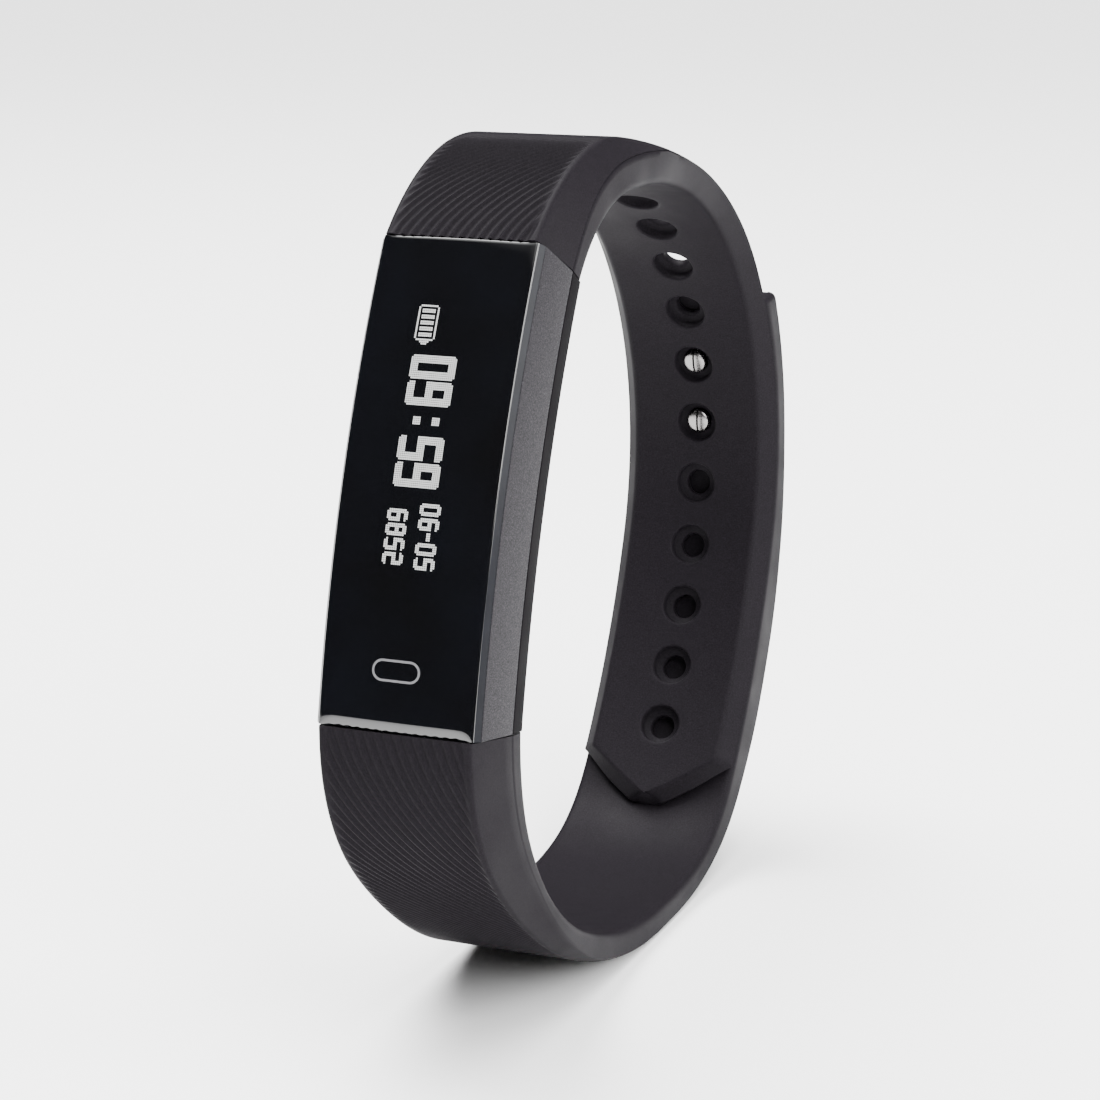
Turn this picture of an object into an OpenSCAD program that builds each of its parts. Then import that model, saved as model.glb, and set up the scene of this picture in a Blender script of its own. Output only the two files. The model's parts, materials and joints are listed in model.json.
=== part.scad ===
// Fitness tracker band: a slim display module between two soft straps,
// closed by a two-stud clasp. X is the strap's width, the display faces -Y,
// and the band stands on the lowest line of its clasp strap, at Z = 0.

/* [Module] */
// Arch radius of the display face along the band
face_r = 125; // [115:1:140]
// Half length of the display face, measured on its chord
face_half_len = 20.4; // [20:0.1:20.8]
// Lean of the display away from upright, in degrees
module_tilt = 20; // [18:0.5:22]
// Lean of the module's end planes towards its middle, in degrees
end_lean = 12; // [11:0.5:13]
// Width of the flat part of the lens
lens_w = 13.5; // [13:0.1:13.8]
// Depth from the display face to the skin at the module's sides
module_t = 8; // [7.8:0.1:8.2]
// Depth of the crease between the bevelled panel and the side strip
crease_w = 5.65; // [5.5:0.05:5.8]
// How far the back cover's pad stands out towards the wrist
pad_h = 1.8; // [1.4:0.1:2]
// Wall thickness of the housing and the back cover
shell_t = 0.9; // [0.8:0.05:1]

/* [Straps] */
// Width across the side strips
strap_w = 16; // [15.8:0.1:16.2]
// Width of the ribbed outer face at the module
rib_face_w = 13.5; // [13:0.1:14]
// Thickness of the holed strap where it is thin
tail_t = 2; // [1.9:0.05:2.1]
// Thickness of the clasp strap where it passes under the wrist
under_t = 2.7; // [2.6:0.1:2.8]
// Extra thickness of the clasp strap behind the holed strap's tip
swell_t = 1.8; // [1.4:0.1:2]
// Thickness of the clasp strap where it overlaps the holed strap
clasp_t = 3; // [2.9:0.1:3.1]
// Gap between the two straps where they overlap
lap_gap = 0.15; // [0.12:0.01:0.2]
// Width of the holed strap's skin face at its tip
tail_skin_w = 13.2; // [12.8:0.1:13.6]
// Reach of the thick root of the holed strap
upper_root_len = 44; // [42:1:46]
// Reach of the thick root of the clasp strap
lower_root_len = 13.2; // [12.6:0.2:14]

/* [Holes and clasp] */
// Number of adjusting holes
hole_count = 11; // [9:1:11]
// Spacing of the holes along the strap
hole_pitch = 6.37; // [6.3:0.01:6.4]
// Radius of each hole's wide inner step
hole_wide_r = 1.75; // [1.7:0.05:1.8]
// Radius of each hole's narrow outer step
hole_narrow_r = 1.5; // [1.5:0.01:1.55]
// Radius of a clasp stud
stud_r = 1.05; // [1:0.01:1.08]
// Length of the last hole's centre from the strap's end corner
last_hole_back = 3.1; // [3:0.1:3.4]

/* [Flexing] */
// How far the clasp end bends outwards, in degrees
clasp_open = 55; // [40:1:60]
// How far the holed tail bends inwards, in degrees
tail_bend = 20; // [15:1:22]

/* [Hidden] */
$fn = 48;
e = 0.01;
through = 12;
skin_mark = "#3a363b";

// ---- Module frame: local X across, local Y into the module, local Z along it
face_centre = [-30.1, 11.6];
along = [sin(module_tilt), cos(module_tilt)];
inward = [cos(module_tilt), -sin(module_tilt)];
function in_module(v, w) = face_centre + v * along + w * inward;
function arc_drop(v, r) = face_r - sqrt(r * r - v * v);
face_end_w = arc_drop(face_half_len, face_r);
function end_v(w) = face_half_len - (w - face_end_w) * tan(end_lean);
skin_r = face_r - module_t;
skin_half_len = end_v(arc_drop(18.8, skin_r));
skin_end_w = arc_drop(skin_half_len, skin_r);
root_turn = 18;

// ---- Plane curve helpers; a frame is [y, z, heading]
function dir(h) = [cos(h), sin(h)];
function left(h) = [-sin(h), cos(h)];
function smooth(x) = let (c = max(0, min(1, x))) c * c * (3 - 2 * c);
function mix(a, b, u) = a + (b - a) * u;

// Skin line of the holed strap: arcs of [radius, angle], each bending to the right
upper_arcs = [[16.3, 49.5], [60, 17.2], [31, 53.2], [28.5, 41.3], [72, 20.4]];
upper_start = concat(in_module(skin_half_len, skin_end_w), [90 - module_tilt - root_turn]);
function arc_len(a) = a[0] * a[1] * PI / 180;
function arc_step(f, r, s) =
    let (h = f[2], h2 = h - s / r * 180 / PI)
    [f[0] + r * (sin(h) - sin(h2)), f[1] - r * (cos(h) - cos(h2)), h2];
function arcs_at(f, s, i = 0) =
    let (a = upper_arcs[i], l = arc_len(a))
    (s <= l || i == len(upper_arcs) - 1)
        ? arc_step(f, a[0], s)
        : arcs_at(arc_step(f, a[0], l), s - l, i + 1);
function upper_at(s) = arcs_at(upper_start, s);
upper_len = arc_len(upper_arcs[0]) + arc_len(upper_arcs[1]) + arc_len(upper_arcs[2])
    + arc_len(upper_arcs[3]) + arc_len(upper_arcs[4]);
function upper_pt(s, d) = let (f = upper_at(s)) [f[0], f[1]] + d * left(f[2]);

// Skin line of the clasp strap: two curves under the wrist, then a line
// that follows the outside of the holed strap
lap_s = 104.5;
clasp_end_s = 56;
lap_d = tail_t + lap_gap;
low_point = [6.7, -36.6];
lower_start = in_module(-skin_half_len, skin_end_w);
lower_h = -90 - module_tilt + root_turn;
lap_f = upper_at(lap_s);
lap_start = upper_pt(lap_s, lap_d);
function bezier(p, u) =
    pow(1 - u, 3) * p[0] + 3 * pow(1 - u, 2) * u * p[1]
    + 3 * (1 - u) * u * u * p[2] + u * u * u * p[3];
function bezier_slope(p, u) =
    3 * pow(1 - u, 2) * (p[1] - p[0]) + 6 * (1 - u) * u * (p[2] - p[1])
    + 3 * u * u * (p[3] - p[2]);
under_a = [lower_start, lower_start + 18.1 * dir(lower_h), low_point - [16, 0], low_point];
under_b = [low_point, low_point + [8.2, 0], lap_start + 8.8 * dir(lap_f[2]), lap_start];
function bez_frame(p, u) =
    let (q = bezier(p, u), t = bezier_slope(p, u)) [q[0], q[1], atan2(t[1], t[0])];
len_a = 49;
len_b = 22.5;
lap_len = lap_s - clasp_end_s;
lower_len = len_a + len_b + lap_len;
function lower_at(s) =
    s < 0 ? let (p = lower_start + s * dir(lower_h)) [p[0], p[1], lower_h]
    : s < len_a ? bez_frame(under_a, s / len_a)
    : s < len_a + len_b ? bez_frame(under_b, (s - len_a) / len_b)
    : let (q = lap_s - (s - len_a - len_b), f = upper_at(q), p = upper_pt(q, lap_d))
        [p[0], p[1], f[2] + 180];
function lower_pt(s, d) = let (f = lower_at(s)) [f[0], f[1]] - d * left(f[2]);

// ---- Strap sections: half widths and depths at a distance s from the module
root_crease = module_t - crease_w;
tip_thinning = 0.6;
function upper_t(s) = mix(tail_t, module_t, pow(1 - max(0, min(1, s / upper_root_len)), 2))
    - tip_thinning * smooth((s - upper_len + 4) / 4);
function upper_section(s) =
    let (t = upper_t(s), c = min(t - 0.3, root_crease + 0.7 * smooth(s / 8)),
         xs = mix(strap_w, tail_skin_w, smooth((s - 12) / 26)) / 2,
         xo = mix(rib_face_w, strap_w - 0.6, smooth((s - 12) / 22)) / 2)
    [[-xs, 0], [xs, 0], [strap_w / 2, c], [xo, t], [-xo, t], [-strap_w / 2, c]];
function lower_t(s) =
    mix(mix(under_t, module_t, exp(-pow(max(0, s) / lower_root_len, 2))), clasp_t, smooth((s - 55) / 25))
    + swell_t * (smooth((s - 60) / 20) - smooth((s - 86) / 20));
function lower_section(s) =
    let (t = lower_t(s), x = strap_w / 2,
         c = mix(root_crease / module_t * t, t - 0.4, smooth((s - 14) / 20)),
         xo = mix(rib_face_w, strap_w - 0.8, smooth((s - 30) / 16)) / 2)
    [[-x, 0], [x, 0], [x, c], [xo, t], [-xo, t], [-x, c]];

// ---- Origin: middle of the depth, lowest line of the clasp strap
under_line = [for (s = [0:0.5:lower_len]) lower_pt(s, lower_t(s))];
floor_z = min([for (p = under_line) p[1]]);
front_y = min([for (p = under_line) p[0]]);
rear_y = max([for (p = under_line) p[0]]);
origin = [(front_y + rear_y) / 2, floor_z];

module placed() translate([0, -origin[0], -origin[1]]) children();
module module_frame() placed()
    translate([0, face_centre[0], face_centre[1]]) rotate([-module_tilt, 0, 0]) children();

// Stack of six-point rings joined into one closed solid
module sweep(rings) {
    n = len(rings);
    k = len(rings[0]);
    sides = [for (i = [0:n - 2], j = [0:k - 1])
        [i * k + j, i * k + (j + 1) % k, (i + 1) * k + (j + 1) % k, (i + 1) * k + j]];
    caps = [[for (j = [k - 1:-1:0]) j], [for (j = [0:k - 1]) (n - 1) * k + j]];
    polyhedron(points = [for (r = rings, p = r) p], faces = concat(sides, caps), convexity = 6);
}
function upper_ring(s, slope = 0, shrink = 1) =
    [for (q = upper_section(min(s, upper_len)))
        let (p = upper_pt(s + slope * q[1], q[1])) [shrink * q[0], p[0], p[1]]];
function lower_ring(s, slope = 0, shrink = 1) =
    [for (q = lower_section(s)) let (p = lower_pt(s + slope * q[1], q[1])) [-shrink * q[0], p[0], p[1]]];
module at_upper(s, d = 0) {
    f = upper_at(s);
    p = upper_pt(s, d);
    placed() translate([0, p[0], p[1]]) rotate([f[2], 0, 0]) children();
}

// ---- Flex joints
ring_step = 1.6;
tail_flex_s = 53.1;
clasp_flex_s = 78.5;
tail_knuckle_r = tail_t / 2;
clasp_flex_run = len_a + len_b + lap_s - clasp_flex_s;
clasp_knuckle_r = lower_t(clasp_flex_run) / 2;
knuckle_gap = 0.1;
clasp_flex_d = lap_d + clasp_knuckle_r;
knuckle_w = tail_skin_w;
clasp_edge_x = 7.3;

// ---- Holes and studs
corner_s = upper_len - 3;
function hole_s(i) = corner_s - last_hole_back - (hole_count - 1 - i) * hole_pitch;
hole_step_d = 1.1;
stud_holes = [hole_count - 7, hole_count - 6];
stud_tip_d = 0.3;
stud_chamfer = 0.3;
stud_len = lap_d + clasp_t - stud_tip_d - 0.2;
stud_slot_w = 0.18;
stud_slot_d = 0.8;
plate_t = 0.8;
plate_w = 9;
plate_over = 3.4;

// ---- Module building blocks
module face_arc(span, w_pts) {
    translate([0, face_r, 0]) rotate([0, 90, 0]) rotate([0, 0, -90 - span / 2])
        rotate_extrude(angle = span, $fn = 180)
            polygon([for (p = w_pts) [face_r - p[1], p[0]]]);
}
// Block between the two leaning end planes, pulled in by inset
module end_block(inset, w0 = -2, w1 = 14) {
    v0 = end_v(w0) - inset;
    v1 = end_v(w1) - inset;
    rotate([90, 0, 90]) linear_extrude(2 * strap_w, center = true)
        polygon([[w0, -v0], [w0, v0], [w1, v1], [w1, -v1]]);
}
module slab(x, w0, w1, v0, v1) translate([-x / 2, w0, v0]) cube([x, w1 - w0, v1 - v0]);

arc_span = 22;
lens_edge_w = 0.9;
lens_half = lens_w / 2;
lens_rim_x = lens_half + 0.5;
lens_bottom_w = 1.7;
crown = 0.25;
function crown_w(x) = crown * pow(x / lens_half, 2);
panel_top_x = lens_rim_x + 0.05;
panel_top_w = lens_edge_w + 0.05;
side_x = strap_w / 2;
seal_t = 0.3;
ledge_w = lens_bottom_w + 0.2;
tongue_w0 = 6.5;
tongue_w1 = 8.6;
hook_w0 = 5.3;
hook_w1 = 7.3;
tongue_x = 12;
tongue_end_v = 25.6;
tongue_root_v = 12.8;
hook_end_v = -24.8;
hook_x = 11;
hook_root_v = -19.2;
fit_gap = 0.12;
pcb_w0 = 4.7;
pcb_w1 = 5.4;
motor_v = -12.7;
motor_r = 3.5;
motor_w0 = pcb_w1 + 0.1;
oled_w0 = 2.9;
oled_w1 = 4.3;

housing_outline = [
    [-side_x, crease_w], [-panel_top_x, panel_top_w], [panel_top_x, panel_top_w], [side_x, crease_w]];

module usb_slot(g) slab(tongue_x + 2 * g, tongue_w0 - g, tongue_w1 + g, tongue_root_v, tongue_end_v + g);
module hook(g) slab(hook_x + 2 * g, hook_w0 - g, hook_w1 + g, hook_end_v - g, hook_root_v);

module module_housing() color("#4b4a50") module_frame() {
    difference() {
        intersection() {
            face_arc(arc_span, housing_outline);
            end_block(0);
        }
        intersection() {
            face_arc(arc_span, [[-side_x + shell_t, crease_w + 1], [-panel_top_x + shell_t, ledge_w],
                [panel_top_x - shell_t, ledge_w], [side_x - shell_t, crease_w + 1]]);
            end_block(shell_t);
        }
        intersection() {
            face_arc(arc_span, [[-lens_rim_x - e, -1], [lens_rim_x + e, -1],
                [lens_rim_x + e, ledge_w], [-lens_rim_x - e, ledge_w]]);
            end_block(0.35, -2, 4);
        }
        usb_slot(0.05);
    }
    hook(0);
}

cover_outline = [
    [-side_x, crease_w + seal_t], [side_x, crease_w + seal_t], [side_x, module_t], [-side_x, module_t]];

module back_cover() color("#37343a") module_frame() difference() {
    union() {
        intersection() {
            face_arc(arc_span, cover_outline);
            end_block(0);
        }
        intersection() {
            face_arc(arc_span, [[-side_x + 1, module_t - e], [side_x - 1, module_t - e],
                [side_x - 2.2, module_t + pad_h], [-side_x + 2.2, module_t + pad_h]]);
            end_block(1.5);
        }
    }
    intersection() {
        face_arc(arc_span, [[-side_x + shell_t, 0], [side_x - shell_t, 0],
            [side_x - shell_t, module_t - shell_t], [side_x - 2.4, module_t + pad_h - shell_t],
            [-side_x + 2.4, module_t + pad_h - shell_t], [-side_x + shell_t, module_t - shell_t]]);
        end_block(shell_t + 1.4);
    }
    usb_slot(0.05);
    hook(0.1);
}

module cover_seal() color("#1a1a1c") module_frame() difference() {
    intersection() {
        face_arc(arc_span, [[-side_x + 0.3, crease_w], [side_x - 0.3, crease_w],
            [side_x - 0.3, crease_w + seal_t], [-side_x + 0.3, crease_w + seal_t]]);
        end_block(0.3);
    }
    intersection() {
        face_arc(arc_span, [[-side_x + shell_t, 0], [side_x - shell_t, 0],
            [side_x - shell_t, 12], [-side_x + shell_t, 12]]);
        end_block(shell_t);
    }
    usb_slot(0.05);
    hook(0.1);
}

module front_lens() color("#0b0b0d") module_frame() intersection() {
    face_arc(arc_span, concat(
        [for (i = [-6:6]) let (x = lens_half * i / 6) [x, crown_w(x)]],
        [[lens_rim_x - 0.1, crown + 0.3], [lens_rim_x, lens_edge_w], [lens_rim_x, lens_bottom_w],
         [-lens_rim_x, lens_bottom_w], [-lens_rim_x, lens_edge_w], [-lens_rim_x + 0.1, crown + 0.3]]));
    end_block(0.4);
}

module lens_adhesive() color("#2a2a2e") module_frame() difference() {
    intersection() {
        face_arc(arc_span, [[-lens_rim_x + 0.1, lens_bottom_w], [lens_rim_x - 0.1, lens_bottom_w],
            [lens_rim_x - 0.1, ledge_w], [-lens_rim_x + 0.1, ledge_w]]);
        end_block(0.5);
    }
    intersection() {
        face_arc(arc_span, [[-6.3, 0], [6.3, 0], [6.3, 4], [-6.3, 4]]);
        end_block(1.6);
    }
}

oled_v0 = -11.6;
oled_v1 = 15.8;
module oled_panel() color("#101418") module_frame() {
    slab(11.5, oled_w0 + 0.7, oled_w1, oled_v0, oled_v1);
    slab(9.5, oled_w0, oled_w0 + 0.7, oled_v0 + 2.2, oled_v1 - 1.2);
}

flex_t = 0.12;
// Outer radius that brings the flex round onto the board's face
flex_r = (pcb_w0 - oled_w1 + flex_t) / 2;
flex_half = 3.5;
flex_end_v = oled_v0 - 1.2;
module display_flex() color("#b06a1e") module_frame() {
    slab(2 * flex_half, oled_w1 - flex_t, oled_w1, flex_end_v, oled_v0 - 0.02);
    translate([0, oled_w1 - flex_t + flex_r, flex_end_v]) rotate([90, 0, 90])
        rotate([0, 0, 180]) rotate_extrude(angle = 180, $fn = 64)
            polygon([[flex_r - flex_t, -flex_half], [flex_r, -flex_half],
                [flex_r, flex_half], [flex_r - flex_t, flex_half]]);
    slab(2 * flex_half, pcb_w0 - flex_t, pcb_w0, flex_end_v, oled_v0 + 3);
}

key_w = 2.95;
module touch_pad() color("#c58b3a") module_frame() slab(6, key_w, key_w + 0.2, -16.6, -13.6);

module main_pcb() color("#1d5a38") module_frame() difference() {
    slab(12.4, pcb_w0, pcb_w1, -17, 16.8);
    for (v = [-16, 15.8]) translate([5.2, pcb_w0 - 1, v]) rotate([-90, 0, 0]) cylinder(r = 0.5, h = 3);
}
// Component on the board's wrist side: corner [across, along], then its size
module on_board(corner, size) module_frame()
    translate([corner[0], pcb_w1, corner[1]]) cube([size[0], size[2], size[1]]);
module bluetooth_chip() color("#26262a") on_board([-4.6, 4], [5, 5, 0.85]);
module accelerometer() color("#303036") on_board([2.2, 6.2], [2.5, 2.5, 0.9]);
module crystal() color("silver") on_board([2, 3.2], [3.2, 1.5, 0.7]);
module chip_antenna() color("#e8e4da") on_board([-1.6, 10.6], [3.2, 1.6, 0.9]);
module charge_chip() color("#2c2c30") on_board([-4, -0.5], [3, 2, 0.8]);

battery_w0 = pcb_w1 + 1.05;
module battery_cell() color("#b9bcc2") module_frame() {
    slab(11, battery_w0, battery_w0 + 2.25, -8.6, 10.6);
    slab(9, battery_w0 + 0.4, battery_w0 + 1, 10.6, 11.6);
}
lead_r = 0.25;
lead_w = battery_w0 + 0.7;
module battery_leads() color("#a02020") module_frame() for (x = [-5.75, -5.1])
    translate([x, lead_w, 11.6]) {
        cylinder(r = lead_r, h = 0.5, $fn = 24);
        translate([0, 0, 0.5]) sphere(r = lead_r, $fn = 24);
        translate([0, 0, 0.5]) rotate([90, 0, 0]) cylinder(r = lead_r, h = lead_w - pcb_w1, $fn = 24);
    }

module at_motor() module_frame() translate([0, motor_w0, motor_v]) rotate([-90, 0, 0]) children();
module motor_base() color("#9a9ca0") at_motor() cylinder(r = motor_r, h = 0.3);
module motor_case() color("#b4b6ba") at_motor() translate([0, 0, 0.3]) difference() {
    cylinder(r = motor_r, h = 2.2);
    translate([0, 0, -1]) cylinder(r = motor_r - 0.2, h = 3);
}
module motor_shaft() color("#d0d2d4") at_motor() translate([0, 0, 0.3]) cylinder(r = 0.4, h = 2, $fn = 32);
module motor_rotor() color("#8b7a52") at_motor() translate([0, 0, 0.8]) difference() {
    union() {
        cylinder(r = 1, h = 1.2);
        rotate_extrude(angle = 190) translate([0.9, 0]) square([2.1, 1.2]);
    }
    translate([0, 0, -1]) cylinder(r = 0.45, h = 4, $fn = 32);
}

module usb_tongue() color("#17181b") module_frame() {
    slab(tongue_x, tongue_w0, tongue_w1, tongue_root_v, tongue_end_v);
    slab(8, pcb_w1, tongue_w0 + e, tongue_root_v + 0.2, 16.4);
}
module usb_contacts() color("gold") module_frame() for (i = [-1.5:1:1.5])
    translate([i * 2.4 - 0.55, tongue_w1, tongue_end_v - 6.9]) cube([1.1, 0.05, 6.2]);

// ---- Straps
module cut_to_module(gap) difference() {
    children();
    module_frame() end_block(-gap, -3, 16);
}
module knuckle(r, w) rotate([0, 90, 0]) cylinder(r = r, h = w, center = true);
// Space that the bending side sweeps, as a sector on the side given by sign
module flex_relief(angle, side) rotate([90, 0, 90]) linear_extrude(2 * strap_w, center = true)
    polygon([[0, 0], [0.3, side * 6], [-6 * sin(angle), side * 6 * cos(angle)]]);

module hole_cut(s) at_upper(s) {
    translate([0, 0, -1]) cylinder(r = hole_wide_r, h = 1 + hole_step_d);
    translate([0, 0, -1]) cylinder(r = hole_narrow_r, h = through);
}
module upper_body(s0, s1) placed() sweep([for (i = [0:ceil((s1 - s0) / ring_step)])
    upper_ring(s0 + i * (s1 - s0) / ceil((s1 - s0) / ring_step))]);

module holed_strap_root() color(skin_mark) difference() {
    cut_to_module(0.05) upper_body(-4, tail_flex_s);
    at_upper(tail_flex_s, tail_knuckle_r) {
        knuckle(tail_knuckle_r + knuckle_gap, 2 * strap_w);
        flex_relief(tail_bend + 4, -1);
    }
    module_frame() usb_slot(fit_gap);
    for (i = [0:hole_count - 1]) if (hole_s(i) < tail_flex_s) hole_cut(hole_s(i));
}

module holed_strap_tail() color(skin_mark) difference() {
    union() {
        placed() sweep(concat(
            [for (i = [0:32]) upper_ring(mix(tail_flex_s, corner_s, i / 32))],
            [upper_ring(corner_s + 2.2, 0.25, 0.52), upper_ring(upper_len + 1.3, 0.5, 0.08)]));
        at_upper(tail_flex_s, tail_knuckle_r) knuckle(tail_knuckle_r - 0.03, knuckle_w - 0.2);
    }
    for (i = [0:hole_count - 1]) if (hole_s(i) > tail_flex_s) hole_cut(hole_s(i));
}

module lower_body(s0, s1) placed() sweep([for (i = [0:ceil((s1 - s0) / ring_step)])
    lower_ring(s0 + i * (s1 - s0) / ceil((s1 - s0) / ring_step))]);

module clasp_strap_root() color(skin_mark) difference() {
    cut_to_module(0.05) lower_body(-4, clasp_flex_run);
    at_upper(clasp_flex_s, clasp_flex_d) {
        knuckle(clasp_knuckle_r + knuckle_gap, 2 * strap_w);
        mirror([0, 1, 0]) flex_relief(clasp_open + 4, 1);
    }
    module_frame() hook(fit_gap);
}

module clasp_strap_end() color(skin_mark) difference() {
    union() {
        placed() sweep(concat(
            [for (i = [0:14]) lower_ring(mix(clasp_flex_run, lower_len - 1, i / 14))],
            [lower_ring(lower_len, -0.35, 0.96)]));
        at_upper(clasp_flex_s, clasp_flex_d) knuckle(clasp_knuckle_r - 0.05, 2 * clasp_edge_x);
    }
    plate_solid(0.03, 1);
    for (i = stud_holes) at_upper(hole_s(i)) cylinder(r = stud_r + 0.03, h = through);
}

// Curved plate let into the outside of the clasp end
module plate_solid(g, over) {
    s0 = hole_s(stud_holes[0]) - plate_over - g;
    s1 = hole_s(stud_holes[1]) + plate_over + g;
    d0 = lap_d + clasp_t - plate_t - g;
    d1 = lap_d + clasp_t + over;
    x = plate_w / 2 + g;
    placed() sweep([for (i = [0:8]) let (s = mix(s0, s1, i / 8))
        [for (q = [[-x, d0], [x, d0], [x, d1], [-x, d1]])
            let (p = upper_pt(s, q[1])) [q[0], p[0], p[1]]]]);
}
module clasp_plate() color("#5c5d61") difference() {
    plate_solid(0, 0);
    for (i = stud_holes) at_upper(hole_s(i)) cylinder(r = stud_r + 0.02, h = through);
}
// Two split studs; the slot in each tip runs along the strap
module clasp_studs() color("#d9dadc") for (i = stud_holes) at_upper(hole_s(i), stud_tip_d) difference() {
    union() {
        cylinder(r1 = stud_r - stud_chamfer, r2 = stud_r, h = stud_chamfer);
        translate([0, 0, stud_chamfer]) cylinder(r = stud_r, h = stud_len - stud_chamfer);
    }
    translate([-stud_slot_w / 2, -stud_r - 1, -1]) cube([stud_slot_w, 2 * stud_r + 2, 1 + stud_slot_d]);
}

module_housing();
back_cover();
cover_seal();
front_lens();
lens_adhesive();
oled_panel();
display_flex();
touch_pad();
main_pcb();
bluetooth_chip();
accelerometer();
crystal();
chip_antenna();
charge_chip();
battery_cell();
battery_leads();
motor_base();
motor_case();
motor_shaft();
motor_rotor();
usb_tongue();
usb_contacts();
holed_strap_root();
holed_strap_tail();
clasp_strap_root();
clasp_strap_end();
clasp_plate();
clasp_studs();
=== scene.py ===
import functools
import json
import math

import bmesh
import bpy
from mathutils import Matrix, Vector


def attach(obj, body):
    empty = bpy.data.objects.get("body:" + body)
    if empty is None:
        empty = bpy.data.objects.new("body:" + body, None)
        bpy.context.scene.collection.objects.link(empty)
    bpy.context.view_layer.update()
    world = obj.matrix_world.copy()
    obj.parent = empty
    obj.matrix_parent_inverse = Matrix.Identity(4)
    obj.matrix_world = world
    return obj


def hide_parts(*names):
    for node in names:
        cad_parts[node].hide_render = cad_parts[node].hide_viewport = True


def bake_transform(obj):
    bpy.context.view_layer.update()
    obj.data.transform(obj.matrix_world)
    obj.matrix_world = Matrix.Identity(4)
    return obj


# Lengths are in millimetres up to the point where a mesh is made. X is across the band, and a
# place in the band's middle plane is (y, z). The path, the module and the sections repeat the
# driving sizes of the CAD model, so every piece lies where its CAD node lies.
MM = 0.001

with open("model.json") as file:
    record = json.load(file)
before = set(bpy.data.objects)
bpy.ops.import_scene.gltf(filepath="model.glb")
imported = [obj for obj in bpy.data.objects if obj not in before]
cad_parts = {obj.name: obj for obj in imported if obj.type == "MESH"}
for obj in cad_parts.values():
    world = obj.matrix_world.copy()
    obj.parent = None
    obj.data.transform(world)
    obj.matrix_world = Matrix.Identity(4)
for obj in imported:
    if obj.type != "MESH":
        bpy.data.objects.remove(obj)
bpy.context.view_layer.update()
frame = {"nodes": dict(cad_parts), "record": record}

# ---- Camera ------------------------------------------------------------------------------------
CAMERA_PLACE = (92.3, -233.42, 98.7)
CAMERA_AZIMUTH = math.radians(22.09)
CAMERA_ELEVATION = math.radians(13.71)
camera_data = bpy.data.cameras.new("camera")
camera_data.lens = 91.44
camera_data.sensor_width = 36
camera_data.clip_start = 0.01
camera = bpy.data.objects.new("camera", camera_data)
camera.location = [c * MM for c in CAMERA_PLACE]
camera.rotation_euler = (math.pi / 2 - CAMERA_ELEVATION, 0, CAMERA_AZIMUTH)
bpy.context.scene.collection.objects.link(camera)
bpy.context.scene.camera = camera


# ---- Small helpers -----------------------------------------------------------------------------
def smooth(x):
    c = max(0.0, min(1.0, x))
    return c * c * (3 - 2 * c)


def mix(a, b, u):
    return a + (b - a) * u


def steps(a, b, n):
    """n + 1 even values from a to b."""
    return [mix(a, b, i / n) for i in range(n + 1)]


class Surface:
    """Collects grids and faces of one mesh, and turns them into an object."""

    def __init__(self):
        self.points = []
        self.faces = []

    def add_points(self, points):
        first = len(self.points)
        self.points.extend(points)
        return list(range(first, first + len(points)))

    def add_grid(self, rows, closed=False):
        ids = [self.add_points(row) for row in rows]
        n = len(rows[0])
        for a, b in zip(ids, ids[1:]):
            for j in range(n if closed else n - 1):
                k = (j + 1) % n
                self.faces.append((a[j], a[k], b[k], b[j]))
        return ids

    def make(self, name, material, sharp_degrees=40):
        mesh = bpy.data.meshes.new(name)
        mesh.from_pydata([[c * MM for c in p] for p in self.points], [], self.faces)
        edit = bmesh.new()
        edit.from_mesh(mesh)
        bmesh.ops.remove_doubles(edit, verts=edit.verts, dist=2e-6)
        bmesh.ops.dissolve_degenerate(edit, edges=edit.edges, dist=1e-6)
        bmesh.ops.recalc_face_normals(edit, faces=edit.faces)
        for face in edit.faces:
            face.smooth = True
        edit.to_mesh(mesh)
        edit.free()
        mesh.set_sharp_from_angle(angle=math.radians(sharp_degrees))
        mesh.materials.append(material)
        piece = bpy.data.objects.new(name, mesh)
        bpy.context.scene.collection.objects.link(piece)
        return piece


# ---- Module frame ------------------------------------------------------------------------------
FACE_CENTRE = (-30.1, 11.6)
TILT = math.radians(20)
ALONG = (math.sin(TILT), math.cos(TILT))
INWARD = (math.cos(TILT), -math.sin(TILT))
FACE_R = 125.0
FACE_HALF = 20.4
END_LEAN = math.radians(12)
MODULE_T = 8.0
CREASE_W = 5.65
PAD_H = 1.8
STRAP_W = 16.0
RIB_FACE_W = 13.5


def arc_drop(v, r):
    return FACE_R - math.sqrt(r * r - v * v)


FACE_END_W = arc_drop(FACE_HALF, FACE_R)


def end_v(w):
    return FACE_HALF - (w - FACE_END_W) * math.tan(END_LEAN)


def in_module(v, w):
    return (FACE_CENTRE[0] + v * ALONG[0] + w * INWARD[0],
            FACE_CENTRE[1] + v * ALONG[1] + w * INWARD[1])


def to_module(p):
    dy, dz = p[0] - FACE_CENTRE[0], p[1] - FACE_CENTRE[1]
    return dy * ALONG[0] + dz * ALONG[1], dy * INWARD[0] + dz * INWARD[1]


# ---- Skin paths of the two straps --------------------------------------------------------------
SKIN_R = FACE_R - MODULE_T
NEAR_SKIN_END = 18.8
SKIN_V = end_v(arc_drop(NEAR_SKIN_END, SKIN_R))
SKIN_W = arc_drop(SKIN_V, SKIN_R)
ROOT_TURN = math.radians(18)
UPPER_ARCS = [(16.3, 49.5), (60, 17.2), (31, 53.2), (28.5, 41.3), (72, 20.4)]
UPPER_LEN = sum(r * math.radians(a) for r, a in UPPER_ARCS)
TIP_LEN = 3
CORNER_S = UPPER_LEN - TIP_LEN


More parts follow.
